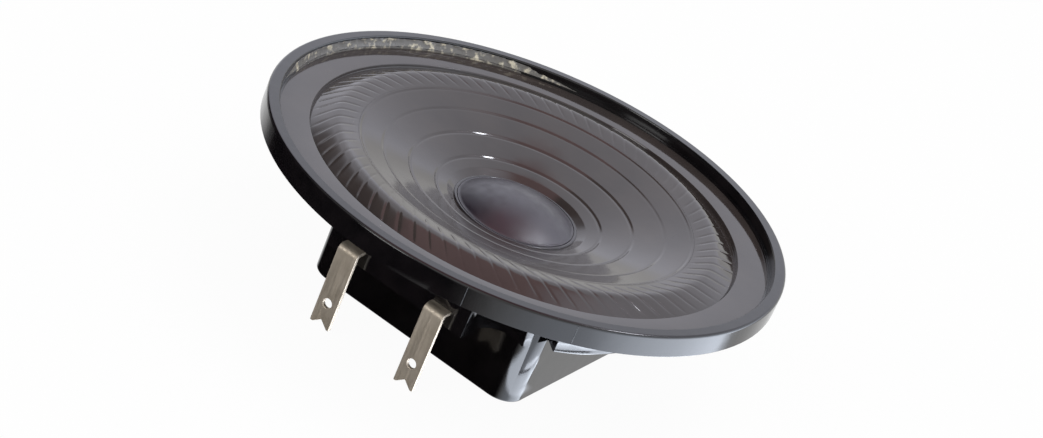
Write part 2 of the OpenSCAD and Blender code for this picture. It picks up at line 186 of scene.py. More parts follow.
@dataclass(frozen=True)
class Finish(ABC):
    """What every finish has: a name, two tones, a roughness, and the width and the strength of its wear.

    Wear gives the least and the most roughness as shares of the usual one. All widths are mm.
    """

    name: str
    tone: str
    second_tone: str
    roughness: float
    metallic: float = 0.0
    ior: float = 1.5
    wear_size: float = 1.0
    wear: Pair = (0.8, 1.2)

    def build(self) -> bpy.types.Material:
        """Builds the material.

        Returns:
            The finished material.
        """
        material = bpy.data.materials.new(self.name)
        tree = fresh_tree(material)
        pattern = self.pattern(tree, add_node(tree, "ShaderNodeTexCoord").outputs["Object"])
        tones = {MIX_SHARE: pattern.share, MIX_FIRST: linear(self.tone), MIX_SECOND: linear(self.second_tone)}
        colour = add_node(tree, "ShaderNodeMix", tones, data_type="RGBA").outputs[MIX_RESULT]
        low, high = (self.roughness * share for share in self.wear)
        surface = {
            "Base Color": colour,
            "Roughness": blotches(tree, pattern.wear_place, self.wear_size, low, high),
            "Normal": pattern.normal,
            "Metallic": self.metallic,
            "IOR": self.ior,
        }
        shader = add_node(tree, "ShaderNodeBsdfPrincipled", surface)
        add_node(tree, "ShaderNodeOutputMaterial", {"Surface": shader.outputs["BSDF"]})
        return material

    @abstractmethod
    def pattern(self, tree: Tree, place: Socket) -> Pattern:
        """The pattern of the finish.

        Args:
            tree: The material's node tree.
            place: The object's own coordinates, in metres.

        Returns:
            The pattern's sockets.
        """


@dataclass(frozen=True)
class MouldedPlastic(Finish):
    """Black ABS from a polished mould: deep and glossy, with the faint ripple of the tool and soft edges."""

    wear_size: float = 5.0
    wear: Pair = (0.8, 1.25)
    tone_size: float = 3.0
    edge: float = 0.05
    edge_samples: int = 4
    ripple: float = 1.6
    ripple_height: float = 0.004
    grain: float = 0.22
    grain_height: float = 0.0012

    def pattern(self, tree: Tree, place: Socket) -> Pattern:
        """Soft edges, the tool's ripple and a fine grain.

        Args:
            tree: The material's node tree.
            place: The object's own coordinates, in metres.

        Returns:
            The pattern's sockets.
        """
        edge = add_node(tree, "ShaderNodeBevel", {"Radius": self.edge * MM}, samples=self.edge_samples)
        normal = edge.outputs["Normal"]
        ripple = blotches(tree, place, self.ripple, 0.0, 1.0, detail=0.0)
        grain = blotches(tree, place, self.grain, 0.0, 1.0)
        for height, depth in ((ripple, self.ripple_height), (grain, self.grain_height)):
            relief = {"Height": height, "Distance": depth * MM, "Normal": normal}
            normal = add_node(tree, "ShaderNodeBump", relief).outputs["Normal"]
        return Pattern(blotches(tree, place, self.tone_size, 0.0, 1.0), place, normal)


@dataclass(frozen=True)
class FormedFilm(Finish):
    """Smoky polycarbonate film, formed hot over a mould: dark brownish grey under clear reflections."""

    wear_size: float = 1.2
    wear: Pair = (0.85, 1.2)
    tone_size: float = 6.0
    ripple: float = 3.5
    ripple_height: float = 0.006

    def pattern(self, tree: Tree, place: Socket) -> Pattern:
        """Uneven smoke colour and the slight waviness of a formed film.

        Args:
            tree: The material's node tree.
            place: The object's own coordinates, in metres.

        Returns:
            The pattern's sockets.
        """
        waves = blotches(tree, place, self.ripple, 0.0, 1.0, detail=1.0)
        relief = add_node(tree, "ShaderNodeBump", {"Height": waves, "Distance": self.ripple_height * MM})
        return Pattern(blotches(tree, place, self.tone_size, 0.0, 1.0), place, relief.outputs["Normal"])


@dataclass(frozen=True)
class RolledMetal(Finish):
    """Tinned brass strip, rolled and stamped: a warm satin grey with fine marks along the blade."""

    wear_size: float = 0.3
    tone_size: float = 1.8
    mark: float = 0.05
    mark_height: float = 0.0015
    stretch: float = 24.0

    def pattern(self, tree: Tree, place: Socket) -> Pattern:
        """Fine marks that run along the blade, and slow changes of the tin's tone.

        Args:
            tree: The material's node tree.
            place: The object's own coordinates, in metres.

        Returns:
            The pattern's sockets.
        """
        stretched = {"Vector": place, "Scale": (1.0, 1.0, 1 / self.stretch)}
        along = add_node(tree, "ShaderNodeMapping", stretched).outputs["Vector"]
        marks = blotches(tree, along, self.mark, 0.0, 1.0, detail=2.0)
        relief = add_node(tree, "ShaderNodeBump", {"Height": marks, "Distance": self.mark_height * MM})
        return Pattern(blotches(tree, place, self.tone_size, 0.0, 1.0), along, relief.outputs["Normal"])


@dataclass(frozen=True)
class TurnedMetal(Finish):
    """Steel turned on a lathe and plated with zinc: fine rings about the axis, a cool bright grey."""

    tone_size: float = 2.5
    feed: float = 0.237
    waver: float = 0.6
    ring_height: float = 0.002

    def pattern(self, tree: Tree, place: Socket) -> Pattern:
        """Rings that the tool's feed leaves.

        Args:
            tree: The material's node tree.
            place: The object's own coordinates, in metres.

        Returns:
            The pattern's sockets.
        """
        rings = add_node(
            tree, "ShaderNodeTexWave",
            {"Vector": place, "Scale": WAVE_LENGTH / (self.feed * MM), "Distortion": self.waver},
            wave_type="RINGS", rings_direction="Z",
        )
        height = {"Height": rings.outputs["Fac"], "Distance": self.ring_height * MM}
        relief = add_node(tree, "ShaderNodeBump", height)
        return Pattern(blotches(tree, place, self.tone_size, 0.0, 1.0), place, relief.outputs["Normal"])


@dataclass(frozen=True)
class Grained(Finish):
    """A body with a grain of its own, such as sintered ferrite, cured adhesive or treated paper.

    Above 0, bare widens the stretches between the grains that stay level and in the first tone.
    """

    wear_size: float = 1.5
    wear: Pair = (0.85, 1.15)
    grain: float = 0.15
    grain_height: float = 0.01
    bare: float = 0.0

    def pattern(self, tree: Tree, place: Socket) -> Pattern:
        """Grain as relief and as a change of tone.

        Args:
            tree: The material's node tree.
            place: The object's own coordinates, in metres.

        Returns:
            The pattern's sockets.
        """
        grain = blotches(tree, place, self.grain, -self.bare, 1.0)
        relief = add_node(tree, "ShaderNodeBump", {"Height": grain, "Distance": self.grain_height * MM})
        return Pattern(grain, place, relief.outputs["Normal"])


@dataclass(frozen=True)
class WoundWire(Finish):
    """Copper wire under clear enamel, wound or braided: dark lines of painted shade between bright turns.

    The first tone is painted shade that lies between the turns. The turns are about twice as wide as real
    ones, so that they show.
    """

    wear_size: float = 0.8
    pitch: float = 0.316
    depth: float = 0.04
    lean: float = 0.0

    def pattern(self, tree: Tree, place: Socket) -> Pattern:
        """Round turns, one pitch apart, with painted shade between them.

        Args:
            tree: The material's node tree.
            place: The object's own coordinates, in metres.

        Returns:
            The pattern's sockets.
        """
        leant = add_node(tree, "ShaderNodeMapping", {"Vector": place, "Rotation": (self.lean, 0.0, 0.0)})
        waves = {"Vector": leant.outputs["Vector"], "Scale": WAVE_LENGTH / (self.pitch * MM)}
        wave = add_node(tree, "ShaderNodeTexWave", waves, wave_type="BANDS", bands_direction="Z")
        turns = wave.outputs["Fac"]
        relief = add_node(tree, "ShaderNodeBump", {"Height": turns, "Distance": self.depth * MM})
        # The wave's height is also the share of the second tone, so the first tone paints shade into the
        # grooves between the turns.
        return Pattern(turns, place, relief.outputs["Normal"])


# The plastic is nearly black, so that its look comes from what it reflects
BASKET_ABS = MouldedPlastic("basket_abs_moulded_black", "#0b0a0c", "#141113", 0.13)
HOUSING_ABS = MouldedPlastic("housing_abs_moulded_black", "#0a090a", "#110f10", 0.1)
FILM = FormedFilm("diaphragm_polycarbonate_film_smoky", "#393332", "#413a38", 0.08)
DOME_FILM = FormedFilm("dome_polycarbonate_film_dark", "#17101c", "#1e1725", 0.38, ior=1.72)
TAG_BRASS = RolledMetal("tag_brass_tinned_rolled", "#cfc3b3", "#beb2a1", 0.5, metallic=0.72)
SOLDER = Grained("solder_tin_bright", "#c6c8ca", "#b4b6b9", 0.2, metallic=1.0, grain=0.4, grain_height=0.01)
ADHESIVE = Grained("adhesive_rubber_cured", "#6f665a", "#5b5248", 0.45, grain=0.8, grain_height=0.02)
BEAD = Grained("bead_rubber_black_cured", "#2c292d", "#373338", 0.2, grain=1.2, grain_height=0.008)
SMEAR = Grained("smear_cement_dried", "#726f6b", "#e9e1cb", 0.3, grain=0.9, grain_height=0.02, bare=1.5)
STEEL = TurnedMetal("steel_turned_zinc_plated", "#b8babd", "#a5a8ac", 0.3, metallic=1.0)
FERRITE = Grained("ferrite_sintered_ground", "#39393b", "#464648", 0.6, grain=0.12, grain_height=0.008)
PAPER = Grained("former_paper_treated", "#cdb88c", "#b9a275", 0.7, grain=0.3, grain_height=0.01)
# The darker first tone of each copper finish is painted shade between its turns.
COPPER = WoundWire("coil_copper_enamelled_wound", "#5c3218", "#b8703a", 0.3, metallic=1.0)
BRAID = WoundWire(
    "lead_copper_braided", "#5a3720", "#c08450", 0.4, metallic=1.0, pitch=0.434, depth=0.055, lean=0.7
)

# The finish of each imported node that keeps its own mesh
NODE_FINISHES: dict[str, Finish] = {
    "tag_solder": SOLDER,
    "front_plate_glue": ADHESIVE,
    "front_plate": STEEL,
    "magnet_glue": ADHESIVE,
    "magnet_ring": FERRITE,
    "yoke_glue": ADHESIVE,
    "yoke_plate": STEEL,
    "pole_piece": STEEL,
    "housing_glue": ADHESIVE,
    "rim_glue": ADHESIVE,
    "coil_former": PAPER,
    "voice_coil": COPPER,
    "coil_leads": COPPER,
    "neck_glue": ADHESIVE,
}


@dataclass
class Materials:
    """Builds each material once and hands it out by its finish."""

    made: dict[str, bpy.types.Material]

    def of(self, finish: Finish) -> bpy.types.Material:
        """The material of a finish, built when it is first asked for.

        Args:
            finish: The finish.

        Returns:
            Its material.
        """
        if finish.name not in self.made:
            self.made[finish.name] = finish.build()
        return self.made[finish.name]


def softened(outline: Sequence[Point], radius: float, steps: int = 4) -> list[Point]:
    """Rounds the inner corners of an open outline.

    Args:
        outline: The corners, in mm.
        radius: How far from a corner its rounding starts, in mm, at most half of each side.
        steps: How many pieces each rounding has.

    Returns:
        The points of the rounded outline.
    """
    rounded = [outline[0]]
    for before, corner, after in zip(outline, outline[1:], outline[2:]):
        middle = Vector(corner)
        back = Vector(before) - middle
        ahead = Vector(after) - middle
        start = middle + back.normalized() * min(radius, back.length / 2)
        end = middle + ahead.normalized() * min(radius, ahead.length / 2)
        for i in range(steps + 1):
            t = i / steps
            point = start * (1 - t) ** 2 + middle * 2 * t * (1 - t) + end * t**2
            rounded.append((point.x, point.y))
    return [*rounded, outline[-1]]


def revolved(outline: Iterable[Point], steps: int) -> bmesh.types.BMesh:
    """Spins an outline once round the driver's axis.

    Args:
        outline: Radius and height of each point, in mm.
        steps: How many parts the turn has.

    Returns:
        A bmesh of the surface, with its seam and its pole closed.
    """
    bm = bmesh.new()
    verts = [bm.verts.new((r * MM, 0.0, z * MM)) for r, z in outline]
    edges = [bm.edges.new(pair) for pair in zip(verts, verts[1:])]
    bmesh.ops.spin(
        bm, geom=[*verts, *edges], cent=(0, 0, 0), axis=AXIS, angle=math.tau, steps=steps, use_merge=True
    )
    bmesh.ops.remove_doubles(bm, verts=bm.verts, dist=WELD * MM)
    bmesh.ops.recalc_face_normals(bm, faces=bm.faces)
    return bm


def around(radius: float, angle: float, height: float) -> Vector:
    """The point at a radius, at an angle in radians from +X, and at a height."""
    return Vector((radius * math.cos(angle), radius * math.sin(angle), height))


def shaped_sheet(columns: int, rows: int, place: Callable[[float, float], Vector]) -> bmesh.types.BMesh:
    """Bends a flat grid into a sheet.

    Args:
        columns: How many parts the sheet has along its first direction.
        rows: How many parts it has along its second one.
        place: Gives the point in mm that lies at a share of the first and a share of the second direction.

    Returns:
        A bmesh of the sheet.
    """
    bm = bmesh.new()
    bmesh.ops.create_grid(bm, x_segments=columns, y_segments=rows, size=GRID_HALF)
    for vert in bm.verts:
        vert.co = place(vert.co.x + GRID_HALF, vert.co.y + GRID_HALF) * MM
    return bm


def given_thickness(bm: bmesh.types.BMesh, thickness: float) -> None:
    """Makes an open sheet a thin solid, straight down from the sheet.

    Args:
        bm: The sheet, which becomes the upper face.
        thickness: How thick the solid is, in mm.
    """
    made = bmesh.ops.extrude_face_region(bm, geom=bm.faces[:], use_keep_orig=True)
    moved = [g for g in made["geom"] if isinstance(g, bmesh.types.BMVert)]
    bmesh.ops.translate(bm, verts=moved, vec=(0, 0, -thickness * MM))
    bmesh.ops.recalc_face_normals(bm, faces=bm.faces)


def merged_copy(node: str) -> bmesh.types.BMesh:
    """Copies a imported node, with its loose triangles merged and its flat faces joined.

    Args:
        node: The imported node's name.

    Returns:
        A bmesh of the node's shape.
    """
    bm = bmesh.new()
    bm.from_mesh(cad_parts[node].data)
    bmesh.ops.remove_doubles(bm, verts=bm.verts, dist=NODE_WELD * MM)
    bmesh.ops.dissolve_limit(bm, angle_limit=math.radians(FLAT_ANGLE), verts=bm.verts, edges=bm.edges)
    return bm


def as_mesh(bm: bmesh.types.BMesh, name: str, material: bpy.types.Material) -> bpy.types.Mesh:
    """Turns a bmesh into a mesh of one material.

    Args:
        bm: The finished shape, which is freed.
        name: The mesh's name.
        material: Its material.

    Returns:
        The mesh.
    """
    mesh = bpy.data.meshes.new(name)
    bm.to_mesh(mesh)
    bm.free()
    mesh.materials.clear()
    mesh.materials.append(material)
    return mesh


def add_object(name: str, data: bpy.types.ID) -> Object:
    """Makes an object and links it to the scene.

    Args:
        name: The object's name.
        data: Its mesh, lamp or camera.

    Returns:
        The object.
    """
    made = bpy.data.objects.new(name, data)
    bpy.context.scene.collection.objects.link(made)
    return made


def make_piece(
    bm: bmesh.types.BMesh, name: str, material: bpy.types.Material, sharp: float = STIFF_CREASE
) -> Object:
    """Turns a bmesh into a smooth-shaded object.

    Args:
        bm: The finished shape, which is freed.
        name: The piece's name.
        material: The piece's material.
        sharp: Edges that turn by more than this many degrees stay crisp.

    Returns:
        The new object, linked to the scene.
    """
    mesh = as_mesh(bm, name, material)
    mesh.shade_smooth()
    mesh.set_sharp_from_angle(angle=math.radians(sharp))
    piece = add_object(name, mesh)
    return piece


def level_sheet(
    name: str, span_x: Pair, span_y: Pair, height: float, material: bpy.types.Material
) -> Object:
    """Lays a flat rectangle level.

    Args:
        name: The object's name.
        span_x: Where it starts and ends along X, in mm.
        span_y: Where it starts and ends along Y, in mm.
        height: Where it lies, in mm.
        material: Its material.

    Returns:
        The object.
    """
    low, high = (Vector((*corner, height)) for corner in zip(span_x, span_y))
    bm = shaped_sheet(1, 1, lambda x, y: low + (high - low) * Vector((x, y, 0.0)))
    return add_object(name, as_mesh(bm, name, material))


@dataclass
class Mouldings:
    """The black mouldings: the round basket and the square housing of the magnet."""

    materials: Materials
    flange_radius: float = 33.0
    marks: tuple[float, ...] = (-46.7, -69.0)
    mark_width: float = 0.14
    mark_height: float = 0.018
    mark_root: float = 0.02
    mark_span: Pair = (0.02, 2.4)

    def build(self) -> list[Object]:
        """Builds both mouldings and the lines that the mould left.

        Returns:
            The new pieces.
        """
        return [
            self.moulding("basket", BASKET_ABS),
            self.moulding("magnet_housing", HOUSING_ABS),
            *(self.mark(number, angle) for number, angle in enumerate(self.marks, 1)),
        ]

    def mark(self, number: int, angle: float) -> Object:
        """The fine upright ridge that a joint of the mould leaves on the flange.

        Args:
            number: The mark's number.
            angle: Where it stands, in degrees from +X.

        Returns:
            The piece.
        """
        bm = bmesh.new()
        half = self.mark_width / 2
        foot = self.flange_radius - self.mark_root
        tip = self.flange_radius + self.mark_height
        low, high = (
            [bm.verts.new((x * MM, y * MM, z * MM)) for x, y in ((foot, -half), (tip, 0.0), (foot, half))]
            for z in self.mark_span
        )
        for i, j in ((0, 1), (1, 2), (2, 0)):
            bm.faces.new((low[i], low[j], high[j], high[i]))
        bm.faces.new(low[::-1])
        bm.faces.new(high)
        bmesh.ops.recalc_face_normals(bm, faces=bm.faces)
        bmesh.ops.rotate(bm, verts=bm.verts, matrix=Matrix.Rotation(math.radians(angle), 3, "Z"))
        piece = make_piece(bm, f"basket_mould_line_{number}", self.materials.of(BASKET_ABS))
        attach(piece, Body.FRAME.value)
        return piece

    def moulding(self, node: str, finish: Finish) -> Object:
        """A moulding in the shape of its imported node, with evenly weighted shading.

        Args:
            node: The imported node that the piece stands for.
            finish: The plastic.

        Returns:
            The piece.
        """
        piece = make_piece(merged_copy(node), f"{node}_moulding", self.materials.of(finish))
        shading = piece.modifiers.new("even_shading", "WEIGHTED_NORMAL")
        shading.keep_sharp = True
        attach(piece, Body.FRAME.value)
        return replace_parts(piece, node)


@dataclass
class CementSmear:
    """Cement that dried in the corner over the ledge, on one side of the rim.

    Its ends sink into the wall, each as steeply as its taper says, and its lower edge is ragged. Each wave of
    its lumps is given by how often it comes in a full turn, and by how it leans with the height.
    """

    materials: Materials
    start: float = 108.0
    end: float = 206.0
    outline: tuple[Point, ...] = (
        (31.42, 2.48), (31.36, 2.3), (31.3, 1.85), (31.14, 1.55), (31.06, 1.3), (31.05, 0.9), (31.13, 0.5)
    )
    columns: int = 420
    thickness: float = 0.1
    sinking: float = 0.4
    tapers: Pair = (4.0, 9.0)
    waves: tuple[Pair, ...] = ((41.0, 1.0), (97.0, -2.0), (173.0, 0.0))
    lump_depth: float = 0.006
    ragged_below: float = 1.0
    raggedness: float = 0.07

    def point(self, along: float, share: float) -> Vector:
        """Where a point of the smear's upper face lies.

        Args:
            along: 0 at the smear's start and 1 at its end.
            share: 0 at its upper edge and 1 at its lower one.

        Returns:
            The point in mm.
        """
        radius, height = self.outline[round(share * (len(self.outline) - 1))]
        angle = math.radians(self.start + (self.end - self.start) * along)
        sunk = max(0.0, 1 - self.tapers[0] * along, 1 - self.tapers[1] * (1 - along)) ** 2
        lumps = sum(math.sin(count * angle + lean * height) for count, lean in self.waves)
        radius += self.sinking * sunk + self.lump_depth * lumps
        if height < self.ragged_below:
            height += self.raggedness * lumps
        return around(radius, angle, height)

    def build(self) -> list[Object]:
        """Builds the smear.

        Returns:
            The new piece, in a list.
        """
        bm = shaped_sheet(self.columns, len(self.outline) - 1, self.point)
        given_thickness(bm, self.thickness)
        piece = make_piece(bm, "rim_smear", self.materials.of(SMEAR), sharp=FORMED_CREASE)
        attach(piece, Body.FRAME.value)
        return [piece]


@dataclass
class SolderTags:
    """The two stamped tags, with the slight rounding that stamping leaves."""

    materials: Materials
    edge: float = 0.1
    edge_segments: int = 2
    edge_angle: float = 40.0

    def tag(self, side: str) -> Object:
        """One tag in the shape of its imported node.

        Args:
            side: "left" or "right".

        Returns:
            The piece.
        """
        node = f"solder_tag_{side}"
        piece = make_piece(merged_copy(node), f"{node}_blade", self.materials.of(TAG_BRASS))
        rounding = piece.modifiers.new("stamped_edges", "BEVEL")
        rounding.width = self.edge * MM
        rounding.segments = self.edge_segments
        rounding.limit_method = "ANGLE"
        rounding.angle_limit = math.radians(self.edge_angle)
        rounding.harden_normals = True
        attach(piece, Body.FRAME.value)
        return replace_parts(piece, node)

    def build(self) -> list[Object]:
        """Builds the left and the right tag."""
        return [self.tag(side) for side in ("left", "right")]


@dataclass
class Surround:
    """The fluted roll of film between the fixed rim and the cone, in sectors."""

    materials: Materials
    outer: float = 27.15
    width: float = 5.7
    foot: float = 0.67
    rise: float = 0.8
    climb: float = 1.85
    fall: float = 2.15
    crest_softness: float = 0.34
    flutes: int = 75
    groove_depth: float = 0.038
    groove_sharpness: float = 8.0
    crowding: float = 0.6
    twist: float = 10.5
    run_out: float = 0.2
    thickness: float = 0.12
    columns_per_flute: int = 20
    rows: int = 24
    sectors: int = 25

    def tent(self, share: float) -> float:
        """Height of the soft-crested tent that the roll follows, in mm."""
        up, down = self.climb * share, self.fall * (1 - share)
        return (up + down - math.hypot(up - down, self.crest_softness)) / 2

    def height(self, share: float) -> float:
        """Height of the roll without its flutes.

        Args:
            share: 0 at the roll's outer foot and 1 at its inner one.

        Returns:
            The height in mm.
        """
        feet = (self.tent(0.0) + self.tent(1.0)) / 2
        return self.foot + self.rise * share + self.tent(share) - feet

    def groove(self, share: float, turn: float) -> float:
        """How deep the groove between two flutes is.

        Args:
            share: 0 at the roll's outer foot and 1 at its inner one.
            turn: Angle from the middle of the groove, as a share of the flutes' pitch in radians.

        Returns:
            The depth in mm.
        """
        reach = min(1.0, share / self.run_out, (1 - share) / self.run_out)
        return self.groove_depth * smooth(reach) * (0.5 + 0.5 * math.cos(turn)) ** self.groove_sharpness

    def point(self, place: float, share: float) -> Vector:
        """Where a point of the roll's upper face lies.

        Args:
            place: How many sectors lie between +X and the point.
            share: 0 at the roll's outer foot and 1 at its inner one.

        Returns:
            The point in mm.
        """
        turn = place * (self.flutes // self.sectors) * math.tau
        turn -= self.crowding * math.sin(turn)
        angle = turn / self.flutes + math.radians(self.twist * (1 - share))
        height = self.height(share) - self.groove(share, turn)
        return around(self.outer - self.width * share, angle, height)

    def sector(self, number: int) -> Object:
        """One sector of the roll, cut along the bottoms of two grooves.

        Args:
            number: Which sector, counted from +X.

        Returns:
            The piece.
        """
        columns = self.flutes // self.sectors * self.columns_per_flute
        bm = shaped_sheet(columns, self.rows, lambda along, share: self.point(along + number, share))
        given_thickness(bm, self.thickness)
        name = f"surround_sector_{number + 1:02d}"
        piece = make_piece(bm, name, self.materials.of(FILM), sharp=FORMED_CREASE)
        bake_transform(piece)
        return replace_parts(piece, "surround")

    def build(self) -> list[Object]:
        """Builds every sector of the roll."""
        return [self.sector(number) for number in range(self.sectors)]


@dataclass
class Diaphragm:
    """The rest of the film: the flat rim that is glued down, the stepped cone and the dome with its bead.

    Each ring of the cone is given by its radius, its depth and its width.
    """

    materials: Materials
    steps: int = 288
    thickness: float = 0.12
    rim_outline: tuple[Point, ...] = ((31.08, 1.15), (27.34, 1.09), (27.23, 0.76), (27.165, 0.67))
    rim_softness: float = 0.06
    cone_out: float = 21.43
    cone_top: float = 1.47
    slope: float = 17.35
    rings: tuple[tuple[float, float, float], ...] = (
        (21.05, 0.05, 0.44), (18.0, 0.045, 0.52), (14.28, 0.09, 0.56), (10.56, 0.09, 0.56)
    )
    ring_lip: float = 0.02
    ring_lean: float = 0.02
    ring_softness: float = 0.1
    land_out: float = 7.95
    land_in: float = 7.05
    land_z: float = -3.0
    groove_width: float = 1.0
    dome_out: float = 7.45
    dome_foot: float = 0.12
    dome_height: float = 2.2
    dome_rows: int = 24
    dome_steps: int = 144
    bead_height: float = 0.14
    bead_gap: float = 0.03
    bead_lift: float = 0.01
    bead_rows: int = 9

    def cone_z(self, radius: float) -> float:
        """Height of the cone's slope at a radius, before its steps, in mm."""
        return self.cone_top - (self.cone_out - radius) * math.tan(math.radians(self.slope))

    def cone_outline(self) -> list[Point]:
        """The cone's upper outline, from its edge down to the land that the dome stands on.

        Returns:
            Radius and height of each point, in mm.
        """
        corners = [(self.cone_out, self.cone_top)]
        for radius, depth, width in self.rings:
            profile = ((width / 2, self.ring_lip), (-self.ring_lean, -depth), (-width / 2, -self.ring_lip))
            corners += [(radius + out, self.cone_z(radius + out) + up) for out, up in profile]
        foot = self.land_out + self.groove_width
        corners += [(foot, self.cone_z(foot)), (self.land_out, self.land_z), (self.land_in, self.land_z)]
        return softened(corners, self.ring_softness)

    def rim(self) -> Object:
        """The flat ring of film inside the basket's rim, with the small step down to the roll's foot.

        Returns:
            The piece.
        """
        bm = revolved(softened(self.rim_outline, self.rim_softness), self.steps)
        given_thickness(bm, self.thickness)
        piece = make_piece(bm, "film_rim_ring", self.materials.of(FILM), sharp=FORMED_CREASE)
        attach(piece, Body.FRAME.value)
        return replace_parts(piece, "film_rim")

    def cone(self) -> Object:
        """The stepped cone.

        Returns:
            The piece.
        """
        bm = revolved(self.cone_outline(), self.steps)
        given_thickness(bm, self.thickness)
        piece = make_piece(bm, "cone_stepped", self.materials.of(FILM), sharp=FORMED_CREASE)
        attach(piece, Body.DIAPHRAGM.value)
        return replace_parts(piece, "cone")

    def dome(self) -> Object:
        """The shallow cap in the middle, with a flat foot that lies on the land.

        Returns:
            The piece.
        """
        span = self.dome_out - self.dome_foot
        ball = (span**2 + self.dome_height**2) / (2 * self.dome_height)
        half = math.asin(span / ball)
        foot = self.land_z + self.thickness
        top = foot + self.dome_height
        angles = [half * (1 - i / self.dome_rows) for i in range(self.dome_rows + 1)]
        cap = [(ball * math.sin(a), top - ball * (1 - math.cos(a))) for a in angles]
        bm = revolved([(self.dome_out, foot), *cap], self.dome_steps)
        given_thickness(bm, self.thickness)
        piece = make_piece(bm, "dome_cap", self.materials.of(DOME_FILM), sharp=FORMED_CREASE)
        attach(piece, Body.DIAPHRAGM.value)
        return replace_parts(piece, "dome")

    def bead(self) -> Object:
        """The round bead of black adhesive in the groove at the dome's foot.

        Returns:
            The piece.
        """
        middle = (self.land_out + self.dome_out) / 2
        half = (self.land_out - self.dome_out) / 2 - self.bead_gap
        foot = self.land_z + self.bead_lift
        angles = [math.pi * i / self.bead_rows for i in range(self.bead_rows + 1)]
        outline = [(middle + half * math.cos(a), foot + self.bead_height * math.sin(a)) for a in angles]
        bm = revolved([*outline, outline[0]], self.steps)
        piece = make_piece(bm, "dome_bead", self.materials.of(BEAD), sharp=FORMED_CREASE)
        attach(piece, Body.DIAPHRAGM.value)
        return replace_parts(piece, "dome_glue")

    def build(self) -> list[Object]:
        """Builds the rim, the cone, the dome and the bead."""
        return [self.rim(), self.cone(), self.dome(), self.bead()]


@dataclass
class Leads:
    """The two braided leads from the coil to the tags, under the cone."""

    materials: Materials
    diameter: float = 0.5
    start: Place = (3.34, -7.16, -4.27)
    end: Place = (6.35, -18.71, -5.575)
    points: int = 15
    resolution: int = 3

    def tube(self, name: str, hand: int) -> bmesh.types.BMesh:
        """The bent tube of one lead, with closed ends.

        Args:
            name: The route's name.
            hand: -1 for the left lead and 1 for the right one.

        Returns:
            A bmesh of the tube.
        """
        curve = bpy.data.curves.new(name, "CURVE")
        curve.dimensions = "3D"
        curve.bevel_depth = self.diameter / 2 * MM
        curve.bevel_resolution = self.resolution
        curve.use_fill_caps = True
        spline = curve.splines.new("POLY")
        spline.points.add(self.points - 1)
        for i, point in enumerate(spline.points):
            t = i / (self.points - 1)
            shares = (smooth(t), t, smooth(t))
            x, y, z = (a + (b - a) * share for a, b, share in zip(self.start, self.end, shares))
            point.co = (hand * x * MM, y * MM, z * MM, 1.0)
        route = bpy.data.objects.new(name, curve)
        bm = bmesh.new()
        bm.from_mesh(bpy.data.meshes.new_from_object(route))
        bmesh.ops.remove_doubles(bm, verts=bm.verts, dist=WELD * MM)
        bmesh.ops.recalc_face_normals(bm, faces=bm.faces)
        bpy.data.objects.remove(route)
        return bm

    def lead(self, side: str, hand: int) -> Object:
        """One lead, which bends between the frame and the cone.

        Args:
            side: "left" or "right".
            hand: -1 for the left lead and 1 for the right one.

        Returns:
            The piece.
        """
        bm = self.tube(f"lead_{side}_route", hand)
        piece = make_piece(bm, f"lead_{side}_braid", self.materials.of(BRAID))
        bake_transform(piece)
        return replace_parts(piece, f"lead_{side}")

    def build(self) -> list[Object]:
        """Builds the left and the right lead."""
        return [self.lead(side, hand) for side, hand in (("left", -1), ("right", 1))]


@dataclass
class InnerParts:
    """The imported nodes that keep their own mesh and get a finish."""

    materials: Materials

    def build(self) -> list[Object]:
        """Gives each node its finish.

        Returns:
            The nodes.
        """
        nodes = []
        for name, finish in NODE_FINISHES.items():
            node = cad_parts[name]
            node.data.materials.clear()
            node.data.materials.append(self.materials.of(finish))
            nodes.append(node)
        return nodes


@dataclass(frozen=True)
class Softbox:
    """A square area lamp that looks at the driver. Only a mirrored one shows in reflections."""

    name: str
    place: Place
    size: float
    radiance: float
    mirrored: bool = False

    def build(self) -> Object:
        """Hangs the lamp.

        Returns:
            The lamp's object.
        """
        lamp = bpy.data.lights.new(self.name, "AREA")
        lamp.shape = "SQUARE"
        lamp.size = self.size * MM
        lamp.energy = self.radiance * math.pi * (self.size * MM) ** 2
        holder = add_object(self.name, lamp)
        holder.location = Vector(self.place) * MM
        holder.rotation_euler = (-holder.location).to_track_quat("-Z", "Y").to_euler()
        holder.visible_glossy = self.mirrored
        return holder


@dataclass(frozen=True)
class SkyPatch:
    """A soft round patch of the sky, of which only reflections are seen. All its angles are degrees."""

    azimuth: float
    elevation: float
    inner: float
    outer: float
    tone: str
    strength: float

    def over(self, tree: Tree, direction: Socket, sky: Socket | Colour) -> Socket:
        """Lays the patch over the sky that was there before.

        Args:
            tree: The world's node tree.
            direction: Where a ray goes.
            sky: The colour of the sky so far.

        Returns:
            The socket with the new colour.
        """
        turn, rise = math.radians(self.azimuth), math.radians(self.elevation)
        middle = around(math.cos(rise), turn, math.sin(rise))
        nearness = add_node(tree, "ShaderNodeVectorMath", {0: direction, 1: middle}, operation="DOT_PRODUCT")
        edges = {
            "From Min": math.cos(math.radians(self.outer)),
            "From Max": math.cos(math.radians(self.inner)),
        }
        share = add_node(
            tree, "ShaderNodeMapRange", {"Value": nearness.outputs["Value"], **edges},
            interpolation_type="SMOOTHSTEP",
        )
        glow = [channel * self.strength for channel in linear(self.tone)[:3]] + [1.0]
        colours = {MIX_SHARE: share.outputs["Result"], MIX_FIRST: sky, MIX_SECOND: glow}
        return add_node(tree, "ShaderNodeMix", colours, data_type="RGBA").outputs[MIX_RESULT]


